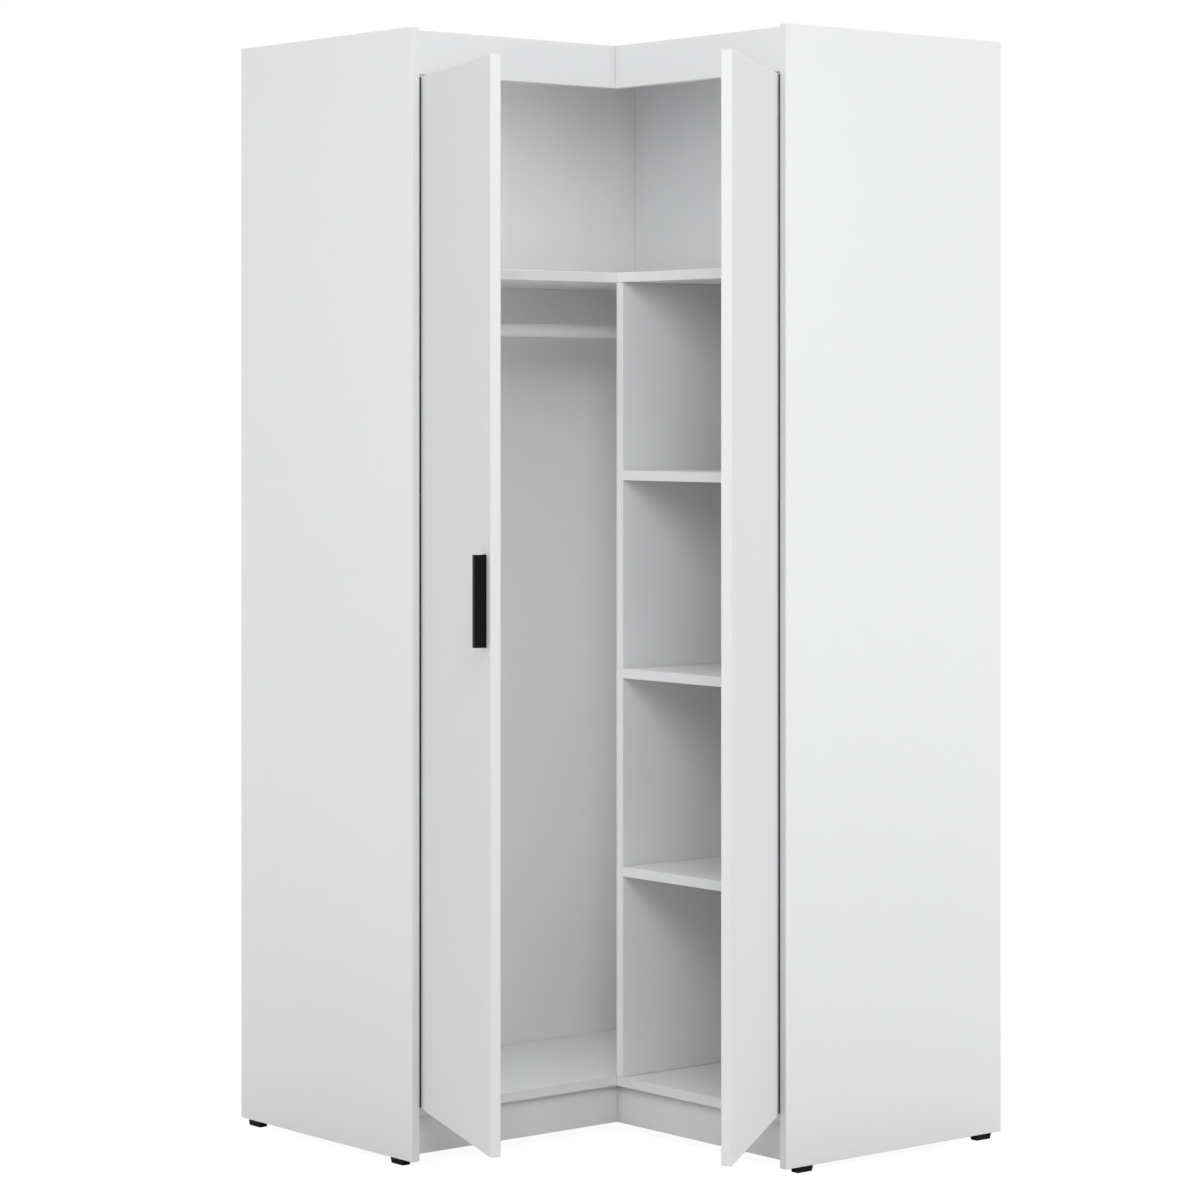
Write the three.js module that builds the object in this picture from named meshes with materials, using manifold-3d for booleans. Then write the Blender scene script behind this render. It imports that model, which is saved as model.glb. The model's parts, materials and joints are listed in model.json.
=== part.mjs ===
// Corner wardrobe: two wings at a right angle, each with a full height hinged door.
// Millimetres, +Z up, standing on Z = 0 on six glides.
// The room corner is at the far left (-X, +Y). The left wing runs from it towards -Y and the
// right wing towards +X. Places are given as u, the distance from the room corner along the
// left wing, and v, the distance from it along the right wing.

import * as THREE from 'three';
import { RoundedBoxGeometry } from 'three/addons/geometries/RoundedBoxGeometry.js';
import { mergeVertices } from 'three/addons/utils/BufferGeometryUtils.js';
import Module from 'manifold-3d';

const wasm = await Module();
wasm.setup();

// Overall sizes
const wing_length = 1000;
const wing_depth = 535;
const panel_height = 2000;
const glide_height = 10;

// Boards
const side_thickness = 16;
const board_thickness = 18;
const back_thickness = 3;
const back_inset = 122;
const edge_radius = 0.8;
const seat_gap = 0.3;

// Front
const door_recess = 2;
const door_thickness = 18;
const door_to_shelf_gap = 0.5;
const fascia_height = 78;
const top_drop = 5;
const door_top_gap = 4;
const door_lap = 0.5;
const door_corner_gap = 3;

// Inside heights
const plinth_clearance = 5;
const plinth_height = 70;
const plinth_set_back = 11.5;
const hat_shelf_height = 1570;
const shelf_bay_height = 347.4;
const shelf_count = 3;

// Hanging rod and its sockets
const rod_diameter = 25;
const rod_wall = 1.2;
const rod_drop = 86;
const rod_from_back = 195;
const socket_flange_diameter = 48;
const socket_flange_thickness = 3;
const socket_ring_wall = 2.2;
const socket_depth = 12;

// Glides
const glide_length = 40;
const glide_inset = 25;
const glide_radius = 0.8;

// Hinges
const hinge_end_distance = 2;
const knuckle_count = 37;
const hinge_axis_set_back = 1;
const barrel_diameter = 3.6;
const barrel_clearance = 0.4;
const pin_diameter = 1.6;
const pin_head_diameter = 3;
const pin_head_thickness = 1;
const leaf_thickness = 1.2;
const leaf_width = 14;

// Handle
const handle_length = 154;
const handle_width = 20;
const handle_lip = 12;
const handle_projection = 21;
const handle_wall = 2;
const handle_edge_distance = 22;
const handle_height = 1019;
const screw_diameter = 4;
const screw_spacing = 128;
const screw_head_diameter = 8;
const screw_head_thickness = 2.5;
const screw_play = 0.6;

// Doors stand open in the modelled pose, in degrees from shut
const left_door_angle = 112;
const right_door_angle = 127.7;

// Facets round a full turn
const rod_sides = 32;
const small_sides = 20;

// Derived places in u and v
const inner_side = wing_length - side_thickness;
const fascia_front = wing_depth - door_recess;
const fascia_back = fascia_front - door_thickness;
const shelf_front = fascia_back - door_to_shelf_gap;
const back_face = back_inset + back_thickness;
const board_rear = back_face + seat_gap;
const board_end = inner_side - seat_gap;
const corner_inner = back_inset + board_thickness;
const corner_face = corner_inner + seat_gap;
const right_start = shelf_front + seat_gap;
const plinth_front = shelf_front - plinth_set_back;
const plinth_back = plinth_front - board_thickness;

// Derived heights
const panel_top = glide_height + panel_height;
const carcass_top = panel_top - top_drop;
const top_underside = carcass_top - board_thickness;
const fascia_bottom = carcass_top - fascia_height;
const plinth_bottom = glide_height + plinth_clearance;
const plinth_top = plinth_bottom + plinth_height;
const bottom_underside = plinth_top + seat_gap;
const bottom_top = bottom_underside + board_thickness;
const hat_shelf_top = hat_shelf_height + board_thickness;
const door_top = fascia_bottom - door_top_gap;
const door_bottom = bottom_top - door_lap;
const door_height = door_top - door_bottom;
const hinge_height = door_height - 2 * hinge_end_distance;
const rod_height = hat_shelf_height - rod_drop;
const rod_v = back_face + rod_from_back;

// The origin is the underside of the glide nearest the room corner
const origin_u = back_inset + board_thickness / 2;
const origin_v = back_inset + glide_inset + glide_length / 2;

const white_board = new THREE.MeshStandardMaterial({ color: 0xe9eaeb, roughness: 0.55, metalness: 0 });
const white_back = new THREE.MeshStandardMaterial({ color: 0xe2e3e3, roughness: 0.7, metalness: 0 });
const white_metal = new THREE.MeshStandardMaterial({ color: 0xefefee, roughness: 0.3, metalness: 0.1 });
const black_metal = new THREE.MeshStandardMaterial({ color: 0x17181a, roughness: 0.45, metalness: 0.6 });
const black_plastic = new THREE.MeshStandardMaterial({ color: 0x101010, roughness: 0.6, metalness: 0 });
const steel = new THREE.MeshStandardMaterial({ color: 0xb8babd, roughness: 0.35, metalness: 0.9 });
const dark_steel = new THREE.MeshStandardMaterial({ color: 0x4a4c4f, roughness: 0.4, metalness: 0.9 });

const wardrobe = new THREE.Group();

function addMesh(group, name, geometry, material) {
  const mesh = new THREE.Mesh(geometry, material);
  mesh.name = name;
  group.add(mesh);
  return mesh;
}

// A box between two values on each of u, v and height, with softened edges
function boxBetween(u, v, z, radius) {
  const size_x = v[1] - v[0];
  const size_y = u[1] - u[0];
  const size_z = z[1] - z[0];
  const geometry = new RoundedBoxGeometry(size_x, size_y, size_z, 1, radius);
  const middle_x = (v[0] + v[1]) / 2 - origin_v;
  const middle_y = origin_u - (u[0] + u[1]) / 2;
  geometry.translate(middle_x, middle_y, (z[0] + z[1]) / 2);
  return geometry;
}

function addBoard(name, u, v, z, material = white_board) {
  addMesh(wardrobe, name, boxBetween(u, v, z, edge_radius), material);
}

// Solids for cutting and joining
function toSolid(geometry) {
  const bare = geometry.clone();
  bare.deleteAttribute('normal');
  bare.deleteAttribute('uv');
  const merged = mergeVertices(bare);
  return new wasm.Manifold(new wasm.Mesh({
    numProp: 3,
    vertProperties: new Float32Array(merged.attributes.position.array),
    triVerts: new Uint32Array(merged.index.array),
  }));
}

function toGeometry(solid) {
  const mesh = solid.getMesh();
  const geometry = new THREE.BufferGeometry();
  geometry.setAttribute('position', new THREE.BufferAttribute(mesh.vertProperties, 3));
  geometry.setIndex(new THREE.BufferAttribute(mesh.triVerts, 1));
  return geometry;
}

// A turned piece about the Z axis from a closed list of radius and height pairs
function turned(profile, sides) {
  const points = profile.map(([radius, height]) => new THREE.Vector2(radius, height));
  const geometry = new THREE.LatheGeometry(points, sides);
  geometry.rotateX(Math.PI / 2);
  return geometry;
}

function rod(radius, from, to, sides) {
  return turned([[0, from], [radius, from], [radius, to], [0, to]], sides);
}

function tube(outer, inner, from, to, sides) {
  return turned([[inner, from], [outer, from], [outer, to], [inner, to], [inner, from]], sides);
}

// Upright panels: one at each wing's free end, one at the left wing's end in the room corner
// and the divider between the hanging space and the shelves
function addUprights() {
  const height = [glide_height, panel_top];
  addBoard('side_panel_left', [inner_side, wing_length], [0, wing_depth], height);
  addBoard('side_panel_right', [0, wing_depth], [inner_side, wing_length], height);
  addBoard('corner_panel', [back_inset, corner_inner], [back_inset, shelf_front], height);
  const divider_height = [bottom_top + seat_gap, hat_shelf_height - seat_gap];
  const divider_v = [right_start, right_start + board_thickness];
  addBoard('divider', [board_rear, shelf_front], divider_v, divider_height);
}

// Level boards: each L shaped level is two boards that meet beside the divider
function addLevels() {
  const left_u = [corner_face, board_end];
  const left_v = [board_rear, shelf_front];
  const right_u = [board_rear, shelf_front];
  const right_v = [right_start, board_end];
  const levels = {
    top_board: [top_underside, carcass_top],
    hat_shelf: [hat_shelf_height, hat_shelf_top],
    bottom_board: [bottom_underside, bottom_top],
  };
  for (const [name, height] of Object.entries(levels)) {
    addBoard(`${name}_left`, left_u, left_v, height);
    addBoard(`${name}_right`, right_u, right_v, height);
  }
  const shelf_v = [right_start + board_thickness + seat_gap, board_end];
  for (let i = 1; i <= shelf_count; i += 1) {
    const underside = hat_shelf_height - i * (shelf_bay_height + board_thickness);
    addBoard(`shelf_${i}`, right_u, shelf_v, [underside, underside + board_thickness]);
  }
}

// Front rails over the doors, plinths under the bottom boards and rails at their rear
function addRails() {
  const fascia_z = [fascia_bottom, carcass_top];
  const plinth_z = [plinth_bottom, plinth_top];
  addBoard('fascia_left', [fascia_back, board_end], [fascia_back, fascia_front], fascia_z);
  addBoard('fascia_right', [fascia_back, fascia_front], [fascia_front + seat_gap, board_end], fascia_z);
  addBoard('plinth_left', [plinth_back, board_end], [plinth_back, plinth_front], plinth_z);
  addBoard('plinth_right', [plinth_back, plinth_front], [plinth_front + seat_gap, board_end], plinth_z);
  const rail = [board_rear, board_rear + board_thickness];
  addBoard('rear_rail_left', [corner_face, board_end], rail, plinth_z);
  addBoard('rear_rail_right', rail, [right_start, board_end], plinth_z);
}

// Thin back panels, nailed to the rear edges of the level boards. They stand in from the side
// panels' rear edges, which reach the walls.
function addBacks() {
  const height = [bottom_underside, carcass_top];
  addBoard('back_panel_left', [corner_face, board_end], [back_inset, back_face], height, white_back);
  addBoard('back_panel_right', [back_inset, back_face], [right_start, board_end], height, white_back);
}

// Hanging rod along the left wing, in a socket at each end
function addRod() {
  const radius = rod_diameter / 2;
  const socket_inner = radius + seat_gap;
  const socket_outer = socket_inner + socket_ring_wall;
  const flange_radius = socket_flange_diameter / 2;
  const socket_end = socket_flange_thickness + socket_depth;
  const socket_profile = [
    [0, 0],
    [flange_radius, 0],
    [flange_radius, socket_flange_thickness],
    [socket_outer, socket_flange_thickness],
    [socket_outer, socket_end],
    [socket_inner, socket_end],
    [socket_inner, socket_flange_thickness],
    [0, socket_flange_thickness],
  ];
  const socket_sinks = { rod_socket_rear: corner_face, rod_socket_front: board_end };
  for (const [name, u] of Object.entries(socket_sinks)) {
    const mesh = addMesh(wardrobe, name, turned(socket_profile, rod_sides), white_metal);
    const towards_middle = u < inner_side / 2 ? 1 : -1;
    mesh.position.set(rod_v - origin_v, origin_u - u, rod_height);
    mesh.rotation.x = towards_middle * Math.PI / 2;
  }
  const rod_start = corner_face + socket_flange_thickness + seat_gap;
  const rod_end = board_end - socket_flange_thickness - seat_gap;
  const length = rod_end - rod_start;
  const rod_mesh = addMesh(
    wardrobe, 'hanging_rod', tube(radius, radius - rod_wall, 0, length, rod_sides), white_metal);
  rod_mesh.position.set(rod_v - origin_v, origin_u - rod_start, rod_height);
  rod_mesh.rotation.x = Math.PI / 2;
}

// Two glides under each upright that reaches the floor
function addGlides() {
  const height = [0, glide_height - seat_gap];
  const rear = [glide_inset, glide_inset + glide_length];
  const ends = { rear, front: [wing_depth - rear[1], wing_depth - rear[0]] };
  for (const [end, along] of Object.entries(ends)) {
    const left = boxBetween([inner_side, wing_length], along, height, glide_radius);
    addMesh(wardrobe, `glide_left_${end}`, left, black_plastic);
    const right = boxBetween(along, [inner_side, wing_length], height, glide_radius);
    addMesh(wardrobe, `glide_right_${end}`, right, black_plastic);
  }
  const corner_ends = {
    rear: [back_inset + rear[0], back_inset + rear[1]],
    front: [shelf_front - rear[1], shelf_front - rear[0]],
  };
  const across = [origin_u - side_thickness / 2, origin_u + side_thickness / 2];
  for (const [end, along] of Object.entries(corner_ends)) {
    addMesh(wardrobe, `glide_corner_${end}`, boxBetween(across, along, height, glide_radius), black_plastic);
  }
}

// Hinge frame: a runs from the side panel into the opening, b runs outwards, both from the
// hinge axis, which lies midway in the gap between the side panel and the door
const axis_from_panel = barrel_diameter / 2 + barrel_clearance;
const door_face_b = hinge_axis_set_back - door_recess;
const door_rear_b = door_face_b - door_thickness;
const door_edge_a = axis_from_panel;
const free_edge_u = fascia_front + door_corner_gap;
const free_edge_a = inner_side - axis_from_panel - free_edge_u;
const axis_u = inner_side - axis_from_panel;
const axis_v = wing_depth - hinge_axis_set_back;

const sides = {
  left: {
    place: (a, b) => [b, a],
    axis: [axis_v - origin_v, origin_u - axis_u],
    turn: -THREE.MathUtils.degToRad(left_door_angle),
  },
  right: {
    place: (a, b) => [-a, -b],
    axis: [axis_u - origin_v, origin_u - axis_v],
    turn: THREE.MathUtils.degToRad(right_door_angle),
  },
};

function hingeBox(side, a, b, z, radius) {
  const near = side.place(a[0], b[0]);
  const far = side.place(a[1], b[1]);
  const size_x = Math.abs(far[0] - near[0]);
  const size_y = Math.abs(far[1] - near[1]);
  const size_z = z[1] - z[0];
  const geometry = radius
    ? new RoundedBoxGeometry(size_x, size_y, size_z, 1, radius)
    : new THREE.BoxGeometry(size_x, size_y, size_z);
  geometry.translate((near[0] + far[0]) / 2, (near[1] + far[1]) / 2, (z[0] + z[1]) / 2);
  return geometry;
}

// One leaf: a plate, the knuckles of its own on the axis, and a tab from each to the plate
function leaf(side, a, knuckles) {
  const barrel_radius = barrel_diameter / 2;
  const plate_start = -(barrel_radius + seat_gap);
  const plate = hingeBox(side, a, [plate_start - leaf_width, plate_start], [0, hinge_height]);
  let solid = toSolid(plate);
  for (const knuckle of knuckles) {
    const tab = hingeBox(side, a, [plate_start - leaf_width, 0], knuckle);
    const barrel = rod(barrel_radius, knuckle[0], knuckle[1], small_sides);
    solid = solid.add(toSolid(tab)).add(toSolid(barrel));
  }
  const bore_radius = pin_diameter / 2 + seat_gap;
  const bore = rod(bore_radius, -hinge_height, 2 * hinge_height, small_sides);
  return toGeometry(solid.subtract(toSolid(bore)));
}

function hingePin() {
  const radius = pin_diameter / 2;
  const head_radius = pin_head_diameter / 2;
  const head_start = hinge_height + seat_gap;
  return turned([
    [0, 0],
    [radius, 0],
    [radius, head_start],
    [head_radius, head_start],
    [head_radius, head_start + pin_head_thickness],
    [0, head_start + pin_head_thickness],
  ], small_sides);
}

// Every other knuckle along a hinge, from the given one, with a seat gap between neighbours
function knucklesFrom(first) {
  const pitch = hinge_height / knuckle_count;
  const spans = [];
  for (let i = first; i < knuckle_count; i += 2) {
    spans.push([i * pitch + seat_gap / 2, (i + 1) * pitch - seat_gap / 2]);
  }
  return spans;
}

// One full height hinge to a door: a leaf on the side panel, one on the door's edge, and a pin
function addHinge(side_name, side, fixed, swinging) {
  const base = door_bottom + hinge_end_distance;
  const panel_a = [seat_gap - axis_from_panel, seat_gap - axis_from_panel + leaf_thickness];
  const door_a = [door_edge_a - seat_gap - leaf_thickness, door_edge_a - seat_gap];
  const panel_leaf = leaf(side, panel_a, knucklesFrom(0));
  addMesh(fixed, `hinge_${side_name}_panel_leaf`, panel_leaf, dark_steel).position.z = base;
  addMesh(fixed, `hinge_${side_name}_pin`, hingePin(), dark_steel).position.z = base;
  const door_leaf = leaf(side, door_a, knucklesFrom(1));
  addMesh(swinging, `hinge_${side_name}_door_leaf`, door_leaf, dark_steel).position.z = base;
}

// Handle: a channel pull whose web faces the free edge of the door
const handle_start = free_edge_a - handle_edge_distance;
const handle_base_b = door_face_b + seat_gap;
const screw_a = handle_start - handle_width / 2;
const screw_heights = [handle_height - screw_spacing / 2, handle_height + screw_spacing / 2];

function handleGeometry() {
  const outline = [
    [handle_start, handle_base_b],
    [handle_start, handle_base_b + handle_projection],
    [handle_start - handle_lip, handle_base_b + handle_projection],
    [handle_start - handle_lip, handle_base_b + handle_projection - handle_wall],
    [handle_start - handle_wall, handle_base_b + handle_projection - handle_wall],
    [handle_start - handle_wall, handle_base_b + handle_wall],
    [handle_start - handle_width, handle_base_b + handle_wall],
    [handle_start - handle_width, handle_base_b],
  ];
  const shape = new THREE.Shape(outline.map(([a, b]) => new THREE.Vector2(...sides.left.place(a, b))));
  const section = new THREE.ExtrudeGeometry(shape, { depth: handle_length, bevelEnabled: false });
  section.translate(0, 0, handle_height - handle_length / 2);
  let solid = toSolid(section);
  for (const height of screw_heights) {
    solid = solid.subtract(toSolid(screwBore(height)));
  }
  return toGeometry(solid);
}

function screwBore(height) {
  const bore = rod((screw_diameter + screw_play) / 2, -door_thickness, door_thickness, small_sides);
  bore.rotateY(Math.PI / 2);
  bore.translate(door_face_b - door_thickness / 2, screw_a, height);
  return bore;
}

function addHandle(door_group) {
  addMesh(door_group, 'handle', handleGeometry(), black_metal);
  const radius = screw_diameter / 2;
  const head_radius = screw_head_diameter / 2;
  const length = door_thickness + 2 * seat_gap + handle_wall;
  const profile = [
    [0, -screw_head_thickness],
    [head_radius, -screw_head_thickness],
    [head_radius, 0],
    [radius, 0],
    [radius, length],
    [0, length],
  ];
  const names = ['handle_screw_lower', 'handle_screw_upper'];
  for (const [i, height] of screw_heights.entries()) {
    const screw = turned(profile, small_sides);
    screw.rotateY(Math.PI / 2);
    screw.translate(door_rear_b - seat_gap, screw_a, height);
    addMesh(door_group, names[i], screw, steel);
  }
}

// Doors, each in a group on its hinge axis, turned open
function addDoors() {
  for (const [side_name, side] of Object.entries(sides)) {
    const fixed = new THREE.Group();
    fixed.position.set(side.axis[0], side.axis[1], 0);
    const swinging = new THREE.Group();
    swinging.position.copy(fixed.position);
    swinging.rotation.z = side.turn;
    wardrobe.add(fixed, swinging);
    const span_b = [door_rear_b, door_face_b];
    const panel = hingeBox(side, [door_edge_a, free_edge_a], span_b, [door_bottom, door_top], edge_radius);
    let door = toSolid(panel);
    if (side_name === 'left') {
      for (const height of screw_heights) {
        door = door.subtract(toSolid(screwBore(height)));
      }
      addHandle(swinging);
    }
    addMesh(swinging, `door_${side_name}`, toGeometry(door), white_board);
    addHinge(side_name, side, fixed, swinging);
  }
}

addUprights();
addLevels();
addRails();
addBacks();
addRod();
addGlides();
addDoors();

export default wardrobe;
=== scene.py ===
import json
import math

import bmesh
import bpy
from mathutils import Matrix, Vector


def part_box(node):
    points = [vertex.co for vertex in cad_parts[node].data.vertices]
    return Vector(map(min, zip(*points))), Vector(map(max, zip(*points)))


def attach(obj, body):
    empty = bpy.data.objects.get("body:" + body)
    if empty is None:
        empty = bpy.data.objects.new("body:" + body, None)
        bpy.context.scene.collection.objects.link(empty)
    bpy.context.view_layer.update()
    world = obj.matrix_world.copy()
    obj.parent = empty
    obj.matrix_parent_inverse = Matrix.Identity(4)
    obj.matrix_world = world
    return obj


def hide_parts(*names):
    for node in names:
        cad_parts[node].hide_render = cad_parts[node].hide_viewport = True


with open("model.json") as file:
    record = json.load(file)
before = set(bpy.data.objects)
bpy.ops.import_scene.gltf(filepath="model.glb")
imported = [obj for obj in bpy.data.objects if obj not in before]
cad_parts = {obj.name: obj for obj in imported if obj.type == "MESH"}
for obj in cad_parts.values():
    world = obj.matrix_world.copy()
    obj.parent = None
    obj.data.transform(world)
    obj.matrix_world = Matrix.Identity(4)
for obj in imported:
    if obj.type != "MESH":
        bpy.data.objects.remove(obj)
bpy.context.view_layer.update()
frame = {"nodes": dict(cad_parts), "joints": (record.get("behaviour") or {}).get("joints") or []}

# The camera stands level in front of the corner between the two wings, at the height of a
# person's chest, with a long lens. Its picture is shifted down to take in the feet and keep
# the wardrobe's upright edges upright.
picture_pixels = 1200
focal_length_pixels = 3680
horizon_row = 404
sensor_width_mm = 36
camera_place = (5.5657, -4.7492, 1.3454)
camera_turn = math.radians(50.338)
quarter_turn = math.radians(90)


def new_object(name, data):
    made = bpy.data.objects.new(name, data)
    bpy.context.scene.collection.objects.link(made)
    return made


camera_data = bpy.data.cameras.new("camera")
camera_data.sensor_width = sensor_width_mm
camera_data.lens = focal_length_pixels / picture_pixels * sensor_width_mm
camera_data.shift_y = (horizon_row - picture_pixels / 2) / picture_pixels
camera = new_object("camera", camera_data)
camera.location = camera_place
camera.rotation_euler = (quarter_turn, 0, camera_turn)
bpy.context.scene.camera = camera
bpy.context.scene.view_settings.view_transform = "Standard"


# The side panels close the two wings' ends. Each is a chipboard panel faced with white
# melamine foil, with a 1 mm plastic band glued to its edges and trimmed to a soft corner.
band_thickness = 0.001
band_corner_share = 0.8
band_face_share = 0.4
soft_edge_segments = 3
flat_limit = 0.999
x_axis, y_axis, z_axis = range(3)
melamine_white = (0.80, 0.808, 0.815, 1)
melamine_light = (0.815, 0.822, 0.83, 1)
# The band is real plastic, but its white is set lighter than the foil as a painted highlight that
# brightens every edge and rounded corner.
band_highlight_white = (0.86, 0.867, 0.875, 1)
noise_low, noise_high = 0.3, 0.7
mix_first, mix_second, mix_result = 6, 7, 2


def new_node(tree, kind, values=(), **settings):
    made = tree.nodes.new(kind)
    for name, value in settings.items():
        setattr(made, name, value)
    for name, value in dict(values).items():
        made.inputs[name].default_value = value
    return made


def new_finish(name, shader_values):
    finish = bpy.data.materials.new(name)
    finish.use_nodes = True
    tree = finish.node_tree
    tree.nodes.clear()
    shader = new_node(tree, "ShaderNodeBsdfPrincipled", shader_values)
    output = new_node(tree, "ShaderNodeOutputMaterial")
    tree.links.new(shader.outputs["BSDF"], output.inputs["Surface"])
    place = new_node(tree, "ShaderNodeTexCoord")
    return finish, tree, shader, place.outputs["Object"]


def noise(tree, place, scale, detail, roughness=0.5):
    made = new_node(tree, "ShaderNodeTexNoise",
                    {"Scale": scale, "Detail": detail, "Roughness": roughness})
    tree.links.new(place, made.inputs["Vector"])
    return made.outputs["Fac"]


def spread(tree, value, low, high):
    made = new_node(tree, "ShaderNodeMapRange",
                    {"From Min": noise_low, "From Max": noise_high, "To Min": low, "To Max": high})
    tree.links.new(value, made.inputs["Value"])
    return made.outputs["Result"]


def blend_colours(tree, share, first, second):
    made = new_node(tree, "ShaderNodeMix", data_type="RGBA")
    tree.links.new(share, made.inputs["Factor"])
    for colour, socket in ((first, made.inputs[mix_first]), (second, made.inputs[mix_second])):
        if isinstance(colour, tuple):
            socket.default_value = colour
        else:
            tree.links.new(colour, socket)
    return made.outputs[mix_result]


def mottle(tree, place, first, second, **grain):
    share = spread(tree, noise(tree, place, **grain), low=0, high=1)
    return blend_colours(tree, share, first, second)


def vary_roughness(tree, shader, place, low, high, **grain):
    roughness = spread(tree, noise(tree, place, **grain), low, high)
    tree.links.new(roughness, shader.inputs["Roughness"])


def raise_grain(tree, shader, place, strength, distance, **grain):
    made = new_node(tree, "ShaderNodeBump", {"Strength": strength, "Distance": distance})
    tree.links.new(noise(tree, place, **grain), made.inputs["Height"])
    tree.links.new(made.outputs["Normal"], shader.inputs["Normal"])


def painted_attribute(tree, name):
    return new_node(tree, "ShaderNodeAttribute", attribute_name=name).outputs["Fac"]


def melamine_finish(name, band):
    finish, tree, shader, place = new_finish(name, {"Specular IOR Level": 0.4})
    faces = mottle(tree, place, melamine_white, melamine_light, scale=5, detail=3)
    # Band faces take the band colour, which paints a highlight along the edges and soft corners.
    banding = painted_attribute(tree, "band")
    tree.links.new(blend_colours(tree, banding, faces, band), shader.inputs["Base Color"])
    vary_roughness(tree, shader, place, low=0.42, high=0.5, scale=160, detail=2)
    raise_grain(tree, shader, place, strength=0.12, distance=0.00006,
                scale=1400, detail=2, roughness=0.6)
    return finish


def box_shape(low, high):
    shape = bmesh.new()
    bmesh.ops.create_cube(shape, size=1)
    middle = (low + high) / 2
    for vertex in shape.verts:
        vertex.co = [middle[i] + vertex.co[i] * (high[i] - low[i]) for i in range(3)]
    return shape


def soften_edges(shape, width):
    bmesh.ops.bevel(shape, geom=shape.edges[:], offset=width, segments=soft_edge_segments,
                    profile=0.5, affect="EDGES")


def is_curved(face):
    return max(abs(part) for part in face.normal) < flat_limit


def shape_object(name, shape):
    mesh = bpy.data.meshes.new(name)
    shape.to_mesh(mesh)
    shape.free()
    return new_object(name, mesh)


def banded_board(name, low, high, across, band=band_thickness):
    shape = box_shape(low, high)
    soften_edges(shape, band * band_corner_share)
    shape.normal_update()
    faces = [face for face in shape.faces if abs(face.normal[across]) > flat_limit]
    bmesh.ops.inset_individual(shape, faces=faces, thickness=band * band_face_share)
    banding = shape.faces.layers.float.new("band")
    for face in shape.faces:
        face[banding] = 0 if face in faces else 1
        face.smooth = is_curved(face)
    return shape_object(name, shape)


def fit_piece(piece, finish, slot, body, *nodes):
    if finish is not None:
        piece.data.materials.clear()
        piece.data.materials.append(finish)
    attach(piece, body)
    if nodes:
        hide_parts(*nodes)


board_finish = melamine_finish("white_melamine", band_highlight_white)
for node, across in (("side_panel_left", y_axis), ("side_panel_right", x_axis)):
    panel = banded_board(f"{node}_board", *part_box(node), across)
    fit_piece(panel, board_finish, "board", "carcass", node)


# The corner panel closes the left wing in the room's corner and the divider parts the
# hanging space from the shelves. Both are the same white boards, dowelled to the levels.
for node, across in (("corner_panel", y_axis), ("divider", x_axis)):
    upright = banded_board(f"{node}_board", *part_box(node), across)
    fit_piece(upright, board_finish, "board", "carcass", node)


# Each L shaped level, at the top, over the rod and at the bottom, is two white boards that
# meet beside the divider, fixed to the uprights with hidden dowels and cams.
for level in ("top_board", "hat_shelf", "bottom_board"):
    for wing in ("left", "right"):
        node = f"{level}_{wing}"
        board = banded_board(f"{node}_board", *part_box(node), z_axis)
        fit_piece(board, board_finish, "board", "carcass", node)


# Three like shelves part the right wing's lower space in four equal bays. They are white
# boards that rest on hidden pins, so one board is made and repeated up the wing.
shelf_count = 3


def geometry_tree(name, sizes):
    tree = bpy.data.node_groups.new(name, "GeometryNodeTree")
    tree.interface.new_socket("Geometry", in_out="INPUT", socket_type="NodeSocketGeometry")
    tree.interface.new_socket("Geometry", in_out="OUTPUT", socket_type="NodeSocketGeometry")
    for size, kind in sizes.items():
        tree.interface.new_socket(size, in_out="INPUT", socket_type=kind)
    return tree, tree.nodes.new("NodeGroupInput"), tree.nodes.new("NodeGroupOutput")


def close_tree(tree, inside, outside, instances):
    whole = tree.nodes.new("GeometryNodeRealizeInstances")
    paint = tree.nodes.new("GeometryNodeSetMaterial")
    tree.links.new(instances, whole.inputs["Geometry"])
    tree.links.new(whole.outputs["Geometry"], paint.inputs["Geometry"])
    tree.links.new(inside.outputs["Finish"], paint.inputs["Material"])
    tree.links.new(paint.outputs["Geometry"], outside.inputs["Geometry"])


def made_by_tree(piece, tree, values):
    modifier = piece.modifiers.new(tree.name, "NODES")
    modifier.node_group = tree
    for socket in tree.interface.items_tree:
        if socket.in_out == "INPUT" and socket.name in values:
            modifier[socket.identifier] = values[socket.name]
    graph = bpy.context.evaluated_depsgraph_get()
    mesh = bpy.data.meshes.new_from_object(piece.evaluated_get(graph))
    mesh.name = piece.name
    piece.modifiers.remove(modifier)
    piece.data = mesh
    return piece


stack_tree, stack_in, stack_out = geometry_tree("shelf_stack", {
    "Shelves": "NodeSocketInt", "Pitch": "NodeSocketFloat", "Finish": "NodeSocketMaterial"})
pitch_vector = stack_tree.nodes.new("ShaderNodeCombineXYZ")
stack_places = stack_tree.nodes.new("GeometryNodeMeshLine")
stack_copies = stack_tree.nodes.new("GeometryNodeInstanceOnPoints")
stack_tree.links.new(stack_in.outputs["Pitch"], pitch_vector.inputs["Z"])
stack_tree.links.new(stack_in.outputs["Shelves"], stack_places.inputs["Count"])
stack_tree.links.new(pitch_vector.outputs["Vector"], stack_places.inputs["Offset"])
stack_tree.links.new(stack_places.outputs["Mesh"], stack_copies.inputs["Points"])
stack_tree.links.new(stack_in.outputs["Geometry"], stack_copies.inputs["Instance"])
close_tree(stack_tree, stack_in, stack_out, stack_copies.outputs["Instances"])

shelf_pitch = (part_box("shelf_1")[0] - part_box("shelf_3")[0]).z / (shelf_count - 1)
shelves = banded_board("shelf_boards", *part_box("shelf_3"), z_axis)
made_by_tree(shelves, stack_tree, {
    "Shelves": shelf_count, "Pitch": shelf_pitch, "Finish": board_finish})
fit_piece(shelves, None, "board", "carcass", "shelf_1", "shelf_2", "shelf_3")


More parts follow.
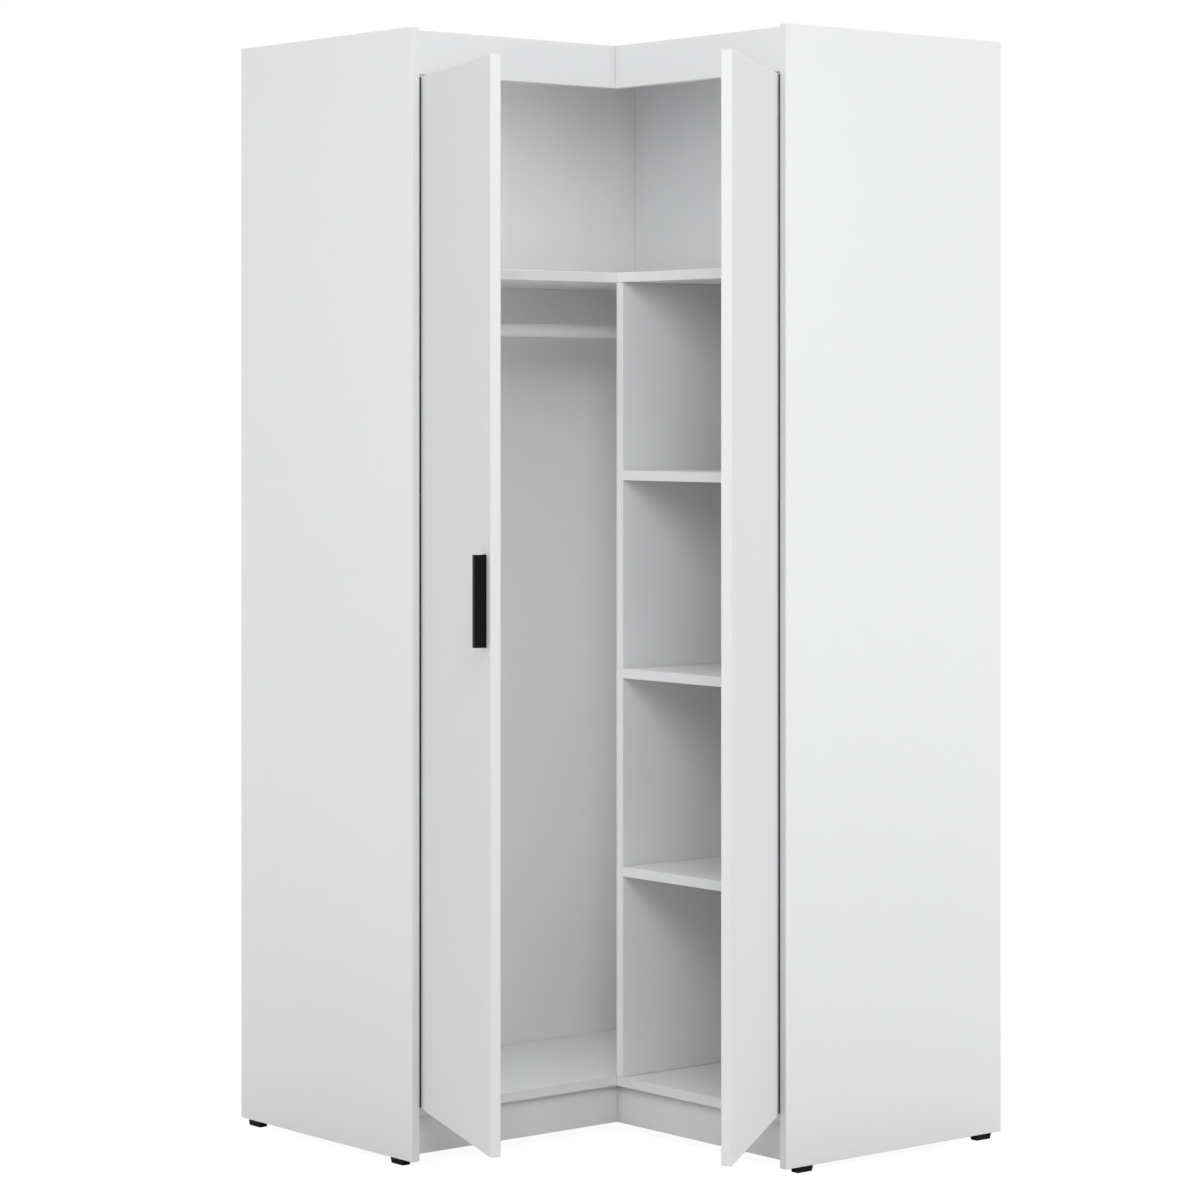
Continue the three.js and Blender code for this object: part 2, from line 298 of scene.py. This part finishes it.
# Fascias close the front over the doors and plinths the front under the bottom boards, and
# rails stand under those boards' rear edges. All are strips of the same board set on edge.
for strip_name in ("fascia", "plinth", "rear_rail"):
    for wing, across in (("left", x_axis), ("right", y_axis)):
        node = f"{strip_name}_{wing}"
        strip = banded_board(f"{node}_board", *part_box(node), across)
        fit_piece(strip, board_finish, "board", "carcass", node)


# The backs are 3 mm hardboard, lacquered white inside and left raw brown behind, nailed to
# the levels' rear edges. They are thin sheets, so their edges are barely eased, not banded.
lacquer_white = (0.89, 0.893, 0.90, 1)
lacquer_light = (0.91, 0.913, 0.92, 1)
fibre_brown = (0.30, 0.20, 0.115, 1)
fibre_dark = (0.21, 0.13, 0.07, 1)
sheet_edge = 0.0005
rearward = 0.5
nail_grey = (0.52, 0.52, 0.53, 1)
nail_light = (0.62, 0.62, 0.63, 1)
nail_spacing = 0.1
nail_sides = 14
nail_rim_share = 0.7
nail_head_diameter = 0.0035
nail_head_height = 0.0006
nail_edge_distance = 0.009

back_finish, tree, shader, place = new_finish("white_hardboard", {"Specular IOR Level": 0.35})
lacquer = mottle(tree, place, lacquer_white, lacquer_light, scale=4, detail=3)
raw_side = mottle(tree, place, fibre_dark, fibre_brown, scale=420, detail=6, roughness=0.7)
raw = painted_attribute(tree, "raw")
tree.links.new(blend_colours(tree, raw, lacquer, raw_side), shader.inputs["Base Color"])
vary_roughness(tree, shader, place, low=0.5, high=0.62, scale=90, detail=3)
raise_grain(tree, shader, place, strength=0.15, distance=0.0001,
            scale=700, detail=4, roughness=0.7)

steel_finish, tree, shader, place = new_finish("bright_steel", {"Metallic": 1.0})
tree.links.new(mottle(tree, place, nail_grey, nail_light, scale=900, detail=3),
               shader.inputs["Base Color"])
vary_roughness(tree, shader, place, low=0.25, high=0.42, scale=2200, detail=2)
raise_grain(tree, shader, place, strength=0.1, distance=0.00005, scale=3000, detail=2)

nail_tree, nail_in, nail_out = geometry_tree("nail_row", {
    "Spacing": "NodeSocketFloat", "Head Diameter": "NodeSocketFloat",
    "Head Height": "NodeSocketFloat", "Turn": "NodeSocketVector",
    "Finish": "NodeSocketMaterial"})
nail_path = nail_tree.nodes.new("GeometryNodeMeshToCurve")
nail_places = new_node(nail_tree, "GeometryNodeResampleCurve", mode="LENGTH")
nail_radius = new_node(nail_tree, "ShaderNodeMath", {1: 2}, operation="DIVIDE")
nail_rim = new_node(nail_tree, "ShaderNodeMath", {1: nail_rim_share}, operation="MULTIPLY")
nail_head = new_node(nail_tree, "GeometryNodeMeshCone", {"Vertices": nail_sides})
nail_copies = nail_tree.nodes.new("GeometryNodeInstanceOnPoints")
nail_tree.links.new(nail_in.outputs["Geometry"], nail_path.inputs["Mesh"])
nail_tree.links.new(nail_path.outputs["Curve"], nail_places.inputs["Curve"])
nail_tree.links.new(nail_in.outputs["Spacing"], nail_places.inputs["Length"])
nail_tree.links.new(nail_in.outputs["Head Diameter"], nail_radius.inputs[0])
nail_tree.links.new(nail_radius.outputs["Value"], nail_rim.inputs[0])
nail_tree.links.new(nail_radius.outputs["Value"], nail_head.inputs["Radius Bottom"])
nail_tree.links.new(nail_rim.outputs["Value"], nail_head.inputs["Radius Top"])
nail_tree.links.new(nail_in.outputs["Head Height"], nail_head.inputs["Depth"])
nail_tree.links.new(nail_places.outputs["Curve"], nail_copies.inputs["Points"])
nail_tree.links.new(nail_head.outputs["Mesh"], nail_copies.inputs["Instance"])
nail_tree.links.new(nail_in.outputs["Turn"], nail_copies.inputs["Rotation"])
close_tree(nail_tree, nail_in, nail_out, nail_copies.outputs["Instances"])


def outline_path(name, corners):
    mesh = bpy.data.meshes.new(name)
    count = len(corners)
    mesh.from_pydata(corners, [(i, (i + 1) % count) for i in range(count)], [])
    return new_object(name, mesh)


for wing, across, rear, turn in (("left", x_axis, -1, (0, -quarter_turn, 0)),
                                 ("right", y_axis, 1, (-quarter_turn, 0, 0))):
    node = f"back_panel_{wing}"
    low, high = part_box(node)
    sheet = banded_board(f"{node}_sheet", low, high, across, band=sheet_edge)
    side = sheet.data.attributes.new("raw", "FLOAT", "FACE")
    side.data.foreach_set("value", [float(face.normal[across] * rear > rearward)
                                    for face in sheet.data.polygons])
    fit_piece(sheet, back_finish, "back_board", "carcass", node)
    along = y_axis if across == x_axis else x_axis
    near, far = low[along] + nail_edge_distance, high[along] - nail_edge_distance
    bottom, top = low.z + nail_edge_distance, high.z - nail_edge_distance
    depth = low[across] if rear < 0 else high[across]
    corners = []
    for run, height in ((near, bottom), (far, bottom), (far, top), (near, top)):
        corner = [depth, depth, height]
        corner[along] = run
        corners.append(tuple(corner))
    nails = outline_path(f"{node}_nails", corners)
    made_by_tree(nails, nail_tree, {
        "Spacing": nail_spacing, "Head Diameter": nail_head_diameter,
        "Head Height": nail_head_height, "Turn": turn, "Finish": steel_finish})
    fit_piece(nails, None, "screw", "carcass")


# The hanging rod is a drawn steel tube with a white powder coat. It drops into a moulded
# cup at each end, and three screws with low heads hold each cup to the wood.
rod_white = (0.88, 0.882, 0.89, 1)
rod_light = (0.90, 0.902, 0.91, 1)
rod_sides = 96
rod_wall = 0.0012
rod_edge = rod_wall / 4
weld_distance = 1e-6
crease_angle = math.radians(40)
cup_flange = 0.003
cup_depth = 0.015
cup_wall = 0.0022
cup_play = 0.0003
cup_edge = 0.0006
cup_screws = 3
cup_screw_circle = 0.0195
screw_head_diameter = 0.0062
screw_head_height = 0.0004
dome_segments = 24
dome_rings = 10
unit_radius = 0.5
slot_of_unit_head = (0.62, 0.16, 0.8)

rod_finish, tree, shader, place = new_finish("white_powder_coat", {
    "Specular IOR Level": 0.5, "Coat Weight": 0.15, "Coat Roughness": 0.2})
tree.links.new(mottle(tree, place, rod_white, rod_light, scale=60, detail=2),
               shader.inputs["Base Color"])
vary_roughness(tree, shader, place, low=0.28, high=0.36, scale=300, detail=2)
raise_grain(tree, shader, place, strength=0.15, distance=0.0001,
            scale=800, detail=2, roughness=0.6)


def turned_piece(name, profile, sides, matrix):
    shape = bmesh.new()
    rings = []
    for step in range(sides):
        angle = 2 * math.pi * step / sides
        rings.append([shape.verts.new((radius * math.cos(angle), radius * math.sin(angle), height))
                      for radius, height in profile])
    for ring, after in zip(rings, rings[1:] + rings[:1]):
        for i, j in zip(range(len(profile)), [*range(1, len(profile)), 0]):
            shape.faces.new((ring[i], after[i], after[j], ring[j]))
    bmesh.ops.remove_doubles(shape, verts=shape.verts[:], dist=weld_distance)
    bmesh.ops.dissolve_degenerate(shape, edges=shape.edges[:], dist=weld_distance)
    bmesh.ops.transform(shape, matrix=matrix, verts=shape.verts[:])
    bmesh.ops.recalc_face_normals(shape, faces=shape.faces[:])
    for face in shape.faces:
        face.smooth = True
    for edge in shape.edges:
        edge.smooth = edge.calc_face_angle(0) < crease_angle
    return shape_object(name, shape)


rod_low, rod_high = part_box("hanging_rod")
rod_radius = (rod_high.z - rod_low.z) / 2
rod_middle = (rod_low + rod_high) / 2
rod_half = (rod_high.y - rod_low.y) / 2
bore = rod_radius - rod_wall
rod_profile = [
    (bore, -rod_half + rod_edge), (bore + rod_edge, -rod_half),
    (rod_radius - rod_edge, -rod_half), (rod_radius, -rod_half + rod_edge),
    (rod_radius, rod_half - rod_edge), (rod_radius - rod_edge, rod_half),
    (bore + rod_edge, rod_half), (bore, rod_half - rod_edge)]
lie_along_wing = Matrix.Translation(rod_middle) @ Matrix.Rotation(quarter_turn, 4, "X")
tube = turned_piece("hanging_rod_tube", rod_profile, rod_sides, lie_along_wing)
fit_piece(tube, rod_finish, "rod", "carcass", "hanging_rod")

screw_tree, screw_in, screw_out = geometry_tree("screw_heads", {
    "Head Diameter": "NodeSocketFloat", "Head Height": "NodeSocketFloat",
    "Finish": "NodeSocketMaterial"})
aim = new_node(screw_tree, "GeometryNodeInputNamedAttribute", {"Name": "aim"},
               data_type="FLOAT_VECTOR")
to_aim = new_node(screw_tree, "FunctionNodeAlignRotationToVector", axis="Z")
head_dome = new_node(screw_tree, "GeometryNodeMeshUVSphere", {
    "Segments": dome_segments, "Rings": dome_rings, "Radius": unit_radius})
slot_cube = new_node(screw_tree, "GeometryNodeMeshCube", {"Size": slot_of_unit_head})
slot_turn = new_node(screw_tree, "GeometryNodeTransform", {"Rotation": (0, 0, quarter_turn)})
slot_lift = new_node(screw_tree, "GeometryNodeTransform", {"Translation": (0, 0, unit_radius)})
cross = screw_tree.nodes.new("GeometryNodeJoinGeometry")
cut = new_node(screw_tree, "GeometryNodeMeshBoolean", operation="DIFFERENCE")
head_size = screw_tree.nodes.new("ShaderNodeCombineXYZ")
double_height = new_node(screw_tree, "ShaderNodeMath", {1: 2}, operation="MULTIPLY")
head_copies = screw_tree.nodes.new("GeometryNodeInstanceOnPoints")
screw_tree.links.new(aim.outputs["Attribute"], to_aim.inputs["Vector"])
screw_tree.links.new(slot_cube.outputs["Mesh"], slot_turn.inputs["Geometry"])
screw_tree.links.new(slot_cube.outputs["Mesh"], cross.inputs["Geometry"])
screw_tree.links.new(slot_turn.outputs["Geometry"], cross.inputs["Geometry"])
screw_tree.links.new(cross.outputs["Geometry"], slot_lift.inputs["Geometry"])
screw_tree.links.new(head_dome.outputs["Mesh"], cut.inputs["Mesh 1"])
screw_tree.links.new(slot_lift.outputs["Geometry"], cut.inputs["Mesh 2"])
screw_tree.links.new(screw_in.outputs["Head Height"], double_height.inputs[0])
screw_tree.links.new(screw_in.outputs["Head Diameter"], head_size.inputs["X"])
screw_tree.links.new(screw_in.outputs["Head Diameter"], head_size.inputs["Y"])
screw_tree.links.new(double_height.outputs["Value"], head_size.inputs["Z"])
screw_tree.links.new(screw_in.outputs["Geometry"], head_copies.inputs["Points"])
screw_tree.links.new(cut.outputs["Mesh"], head_copies.inputs["Instance"])
screw_tree.links.new(to_aim.outputs["Rotation"], head_copies.inputs["Rotation"])
screw_tree.links.new(head_size.outputs["Vector"], head_copies.inputs["Scale"])
close_tree(screw_tree, screw_in, screw_out, head_copies.outputs["Instances"])


def fit_screw_heads(name, places, aims, diameter, height, body):
    mesh = bpy.data.meshes.new(name)
    mesh.from_pydata([tuple(place) for place in places], [], [])
    aim_values = mesh.attributes.new("aim", "FLOAT_VECTOR", "POINT")
    aim_values.data.foreach_set("vector", [part for vector in aims for part in vector])
    heads = made_by_tree(new_object(name, mesh), screw_tree, {
        "Head Diameter": diameter, "Head Height": height, "Finish": steel_finish})
    fit_piece(heads, None, "screw", body)


for end, inwards in (("rear", -1), ("front", 1)):
    node = f"rod_socket_{end}"
    low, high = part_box(node)
    foot = Vector((rod_middle.x, high.y if inwards < 0 else low.y, rod_middle.z))
    flange_radius = (high.z - low.z) / 2
    ring = rod_radius + cup_play
    rim = ring + cup_wall
    cup_profile = [
        (0, 0), (flange_radius, 0), (flange_radius, cup_flange - cup_edge),
        (flange_radius - cup_edge / 3, cup_flange - cup_edge / 3),
        (flange_radius - cup_edge, cup_flange), (rim + cup_edge, cup_flange),
        (rim, cup_flange + cup_edge), (rim, cup_depth - cup_edge), (rim - cup_edge, cup_depth),
        (ring + cup_edge, cup_depth), (ring, cup_depth - cup_edge), (ring, cup_flange),
        (0, cup_flange)]
    to_wood = Matrix.Translation(foot) @ Matrix.Rotation(-inwards * quarter_turn, 4, "X")
    cup = turned_piece(f"{node}_cup", cup_profile, rod_sides, to_wood)
    fit_piece(cup, rod_finish, "rod", "carcass", node)
    places = []
    for number in range(cup_screws):
        angle = quarter_turn + number * 2 * math.pi / cup_screws
        places.append(to_wood @ Vector((cup_screw_circle * math.cos(angle),
                                        cup_screw_circle * math.sin(angle), cup_flange)))
    fit_screw_heads(f"{node}_screws", places, [Vector((0, inwards, 0))] * cup_screws,
                    screw_head_diameter, screw_head_height, "carcass")


# Six black moulded plastic glides lift the wardrobe off the floor, nailed up into the
# uprights' lower edges. Their ends lean inwards and their corners are rounded, to slide.
glide_black = (0.003, 0.003, 0.0032, 1)
glide_sheen = (0.006, 0.006, 0.0064, 1)
glide_lean = 0.003
glide_corner = 0.0008

glide_finish, tree, shader, place = new_finish("black_plastic", {"Specular IOR Level": 0.1})
tree.links.new(mottle(tree, place, glide_black, glide_sheen, scale=220, detail=3),
               shader.inputs["Base Color"])
vary_roughness(tree, shader, place, low=0.5, high=0.7, scale=500, detail=2)
raise_grain(tree, shader, place, strength=0.2, distance=0.0001, scale=2400, detail=2)


def glide_shape(name, low, high):
    shape = box_shape(low, high)
    middle = (low + high) / 2
    along = x_axis if high.x - low.x > high.y - low.y else y_axis
    for vertex in shape.verts:
        if vertex.co.z < middle.z:
            vertex.co[along] += math.copysign(glide_lean, middle[along] - vertex.co[along])
    soften_edges(shape, glide_corner)
    for face in shape.faces:
        face.smooth = face.calc_area() < glide_corner * (high.z - low.z)
    return shape_object(name, shape)


for upright in ("left", "right", "corner"):
    for end in ("rear", "front"):
        node = f"glide_{upright}_{end}"
        foot = glide_shape(f"{node}_foot", *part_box(node))
        fit_piece(foot, glide_finish, "glide", "carcass", node)


# Each door is one banded white board, hung on a long hinge and standing open. It is made
# shut, where its edges lie along the wings, and then turned on the hinge line.
# The doors' band is a less lightened copy of the carcass band: a weaker painted highlight on the
# doors' edges.
door_band_weaker_highlight = (0.82, 0.827, 0.835, 1)
door_finish = melamine_finish("white_door_melamine", door_band_weaker_highlight)
open_angles = {"left": math.radians(-112), "right": math.radians(127.7)}
hinge_lines = {joint["name"].split("_")[0]: joint for joint in frame["joints"]}


def turn_open(side):
    line = Vector(hinge_lines[side]["pos_m"])
    turn = Matrix.Rotation(open_angles[side], 4, "Z")
    return Matrix.Translation(line) @ turn @ Matrix.Translation(-line)


def shut_box(node, side):
    back = turn_open(side).inverted()
    corners = [back @ vertex.co for vertex in frame["nodes"][node].data.vertices]
    low = Vector([min(corner[i] for corner in corners) for i in range(3)])
    high = Vector([max(corner[i] for corner in corners) for i in range(3)])
    return low, high


for side, across in (("left", x_axis), ("right", y_axis)):
    node = f"door_{side}"
    door = banded_board(f"{node}_board", *shut_box(node, side), across)
    door.data.transform(turn_open(side))
    fit_piece(door, door_finish, "door_board", f"{side}_door", node)


# The handle is a folded channel pull in black powder coated aluminium: a foot on the door, a
# web towards the door's free edge and a lip to pull by. Two screws hold it from inside.
handle_black = (0.003, 0.003, 0.0032, 1)
handle_sheen = (0.006, 0.006, 0.0064, 1)
handle_wall = 0.002
handle_lip = 0.012
handle_edge = 0.0005
handle_screw_diameter = 0.0076
handle_screw_height = 0.0011

handle_finish, tree, shader, place = new_finish("black_powder_coat", {"Specular IOR Level": 0.1})
tree.links.new(mottle(tree, place, handle_black, handle_sheen, scale=500, detail=2),
               shader.inputs["Base Color"])
vary_roughness(tree, shader, place, low=0.42, high=0.55, scale=900, detail=2)
raise_grain(tree, shader, place, strength=0.25, distance=0.0001, scale=2600, detail=3)

low, high = shut_box("handle", "left")
section = [
    (low.x, high.y), (high.x, high.y), (high.x, high.y - handle_lip),
    (high.x - handle_wall, high.y - handle_lip), (high.x - handle_wall, high.y - handle_wall),
    (low.x + handle_wall, high.y - handle_wall), (low.x + handle_wall, low.y), (low.x, low.y)]
shape = bmesh.new()
bottom = shape.faces.new([shape.verts.new((x, y, low.z)) for x, y in section])
grown = bmesh.ops.extrude_face_region(shape, geom=[bottom])
bmesh.ops.translate(shape, vec=(0, 0, high.z - low.z),
                    verts=[part for part in grown["geom"] if isinstance(part, bmesh.types.BMVert)])
bmesh.ops.recalc_face_normals(shape, faces=shape.faces[:])
soften_edges(shape, handle_edge)
for face in shape.faces:
    face.smooth = is_curved(face)
channel = shape_object("handle_channel", shape)
channel.data.transform(turn_open("left"))
fit_piece(channel, handle_finish, "handle", "left_door", "handle")


def repaint(node, finish):
    materials = frame["nodes"][node].data.materials
    materials.clear()
    materials.append(finish)


places = []
for node in ("handle_screw_lower", "handle_screw_upper"):
    repaint(node, steel_finish)
    low, high = shut_box(node, "left")
    middle = (low + high) / 2
    places.append(turn_open("left") @ Vector((low.x, middle.y, middle.z)))
into_wardrobe = turn_open("left").to_3x3() @ Vector((-1, 0, 0))
fit_screw_heads("handle_screw_heads", places, [into_wardrobe] * len(places),
                handle_screw_diameter, handle_screw_height, "left_door")


# A slim continuous steel hinge runs the full height of each door, with one leaf flat on the
# side panel, one on the door's edge and a pin through their knuckles. Each leaf is held by a
# row of thin flat screws down its middle. Its near-black colour is painted shade, standing in
# for the shadow in the narrow gap beside each door.
# These near-black tones are painted shade: they paint the shadow of the door gaps onto the hinge.
gap_shade_dark = (0.03, 0.031, 0.033, 1)
gap_shade_light = (0.05, 0.052, 0.055, 1)
leaf_screw_spacing = 0.1
leaf_screw_diameter = 0.006
leaf_screw_height = 0.0003
leaf_middle = 0.0091
leaf_face = 0.0007

# This finish paints shade: its near-black mottle stands in for the shadow in the gap beside each
# door.
gap_shade_finish, tree, shader, place = new_finish("hinge_steel_painted_gap_shade", {"Metallic": 0.9})
tree.links.new(mottle(tree, place, gap_shade_dark, gap_shade_light, scale=350, detail=3),
               shader.inputs["Base Color"])
vary_roughness(tree, shader, place, low=0.3, high=0.45, scale=1200, detail=2)
raise_grain(tree, shader, place, strength=0.15, distance=0.00005, scale=2600, detail=2)

for side, into_opening, outwards in (("left", Vector((0, 1, 0)), Vector((1, 0, 0))),
                                     ("right", Vector((-1, 0, 0)), Vector((0, -1, 0)))):
    for part in ("panel_leaf", "pin", "door_leaf"):
        repaint(f"hinge_{side}_{part}", gap_shade_finish)
    line = Vector(hinge_lines[side]["pos_m"])
    opened = turn_open(side)
    low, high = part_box(f"hinge_{side}_panel_leaf")
    count = round((high.z - low.z) / leaf_screw_spacing)
    panel_places, door_places = [], []
    for number in range(count):
        along = line - outwards * leaf_middle
        along.z = low.z + (number + 0.5) * (high.z - low.z) / count
        panel_places.append(along - into_opening * leaf_face)
        door_places.append(opened @ (along + into_opening * leaf_face))
    for part, places, aim, body in (
            ("panel", panel_places, into_opening, "carcass"),
            ("door", door_places, opened.to_3x3() @ -into_opening, f"{side}_door")):
        fit_screw_heads(f"hinge_{side}_{part}_screws", places, [aim] * count,
                        leaf_screw_diameter, leaf_screw_height, body)


# The studio: a plain white floor that fades into a white surround, an even pale sky, large
# soft lamps in front, above and to both sides, and weak strips that brighten the inside.
# Light from the sky is shut out only by what stands within arm's reach, as in a bright room.
floor_half = 30
floor_drop = 0.0002
floor_paper = (0.8, 0.8, 0.8, 1)
floor_seen = (0.97, 0.97, 0.97, 1)
plain_white = (1, 1, 1, 1)
shadow_share = 0.14
floor_glow = 1.1
sky_level = 0.575
sky_reach = 0.45
sky_bounces = 2
surround_level = 1
wardrobe_middle = (0.3, -0.35, 0.95)

mesh = bpy.data.meshes.new("floor")
mesh.from_pydata([(x * floor_half, y * floor_half, -floor_drop)
                  for x, y in ((-1, -1), (1, -1), (1, 1), (-1, 1))], [], [(0, 1, 2, 3)])
floor = new_object("floor", mesh)
floor_finish = bpy.data.materials.new("floor_white")
floor_finish.use_nodes = True
tree = floor_finish.node_tree
tree.nodes.clear()
paper = new_node(tree, "ShaderNodeBsdfDiffuse", {"Color": floor_paper})
bright_paper = new_node(tree, "ShaderNodeBsdfDiffuse", {"Color": floor_seen})
glow = new_node(tree, "ShaderNodeEmission", {"Color": plain_white, "Strength": floor_glow})
seen = new_node(tree, "ShaderNodeMixShader", {"Fac": shadow_share})
either = new_node(tree, "ShaderNodeMixShader")
rays = new_node(tree, "ShaderNodeLightPath")
output = new_node(tree, "ShaderNodeOutputMaterial")
tree.links.new(glow.outputs["Emission"], seen.inputs[1])
tree.links.new(bright_paper.outputs["BSDF"], seen.inputs[2])
tree.links.new(rays.outputs["Is Camera Ray"], either.inputs["Fac"])
tree.links.new(paper.outputs["BSDF"], either.inputs[1])
tree.links.new(seen.outputs["Shader"], either.inputs[2])
tree.links.new(either.outputs["Shader"], output.inputs["Surface"])
floor.data.materials.append(floor_finish)

world = bpy.data.worlds.new("sky")
bpy.context.scene.world = world
world.use_nodes = True
tree = world.node_tree
tree.nodes.clear()
sky = new_node(tree, "ShaderNodeBackground", {"Color": plain_white, "Strength": sky_level})
white = new_node(tree, "ShaderNodeBackground", {"Color": plain_white, "Strength": surround_level})
either = new_node(tree, "ShaderNodeMixShader")
rays = new_node(tree, "ShaderNodeLightPath")
seen_or_mirrored = new_node(tree, "ShaderNodeMath", operation="MAXIMUM")
or_seen_through = new_node(tree, "ShaderNodeMath", operation="MAXIMUM")
output = new_node(tree, "ShaderNodeOutputWorld")
tree.links.new(rays.outputs["Is Camera Ray"], seen_or_mirrored.inputs[0])
tree.links.new(rays.outputs["Is Glossy Ray"], seen_or_mirrored.inputs[1])
tree.links.new(seen_or_mirrored.outputs["Value"], or_seen_through.inputs[0])
tree.links.new(rays.outputs["Is Transmission Ray"], or_seen_through.inputs[1])
tree.links.new(or_seen_through.outputs["Value"], either.inputs["Fac"])
tree.links.new(sky.outputs["Background"], either.inputs[1])
tree.links.new(white.outputs["Background"], either.inputs[2])
tree.links.new(either.outputs["Shader"], output.inputs["Surface"])

bpy.context.scene.cycles.use_fast_gi = True
bpy.context.scene.cycles.fast_gi_method = "REPLACE"
bpy.context.scene.cycles.ao_bounces_render = sky_bounces
world.light_settings.distance = sky_reach

for name, place, target, width, height, power in (
        ("front_lamp", (2.95, -2.56, 2.6), wardrobe_middle, 0.8, 1.6, 38),
        ("right_lamp", (3.2, 3.6, 1.3), wardrobe_middle, 2.5, 2.5, 52),
        ("left_lamp", (-3.4, -3.6, 1.3), wardrobe_middle, 2.5, 2.5, 28),
        ("top_lamp", (0.6, -0.7, 5.0), wardrobe_middle, 2.5, 2.5, 40),
        ("upper_left_strip", (0.335, -0.61, 1.895), (0.122, -0.61, 1.68), 0.42, 0.03, 0.6),
        ("upper_right_strip", (0.60, -0.37, 1.895), (0.60, -0.12, 1.68), 0.42, 0.03, 0.36),
        ("hanging_strip", (0.34, -0.83, 0.8), (0.122, -0.5, 0.8), 0.03, 1.3, 0.72)):
    light = bpy.data.lights.new(name, "AREA")
    light.shape = "RECTANGLE"
    light.size = width
    light.size_y = height
    light.energy = power
    lamp = new_object(name, light)
    lamp.location = place
    towards = Vector(target) - lamp.location
    lamp.rotation_euler = towards.to_track_quat("-Z", "Y").to_euler()
    lamp.visible_camera = False
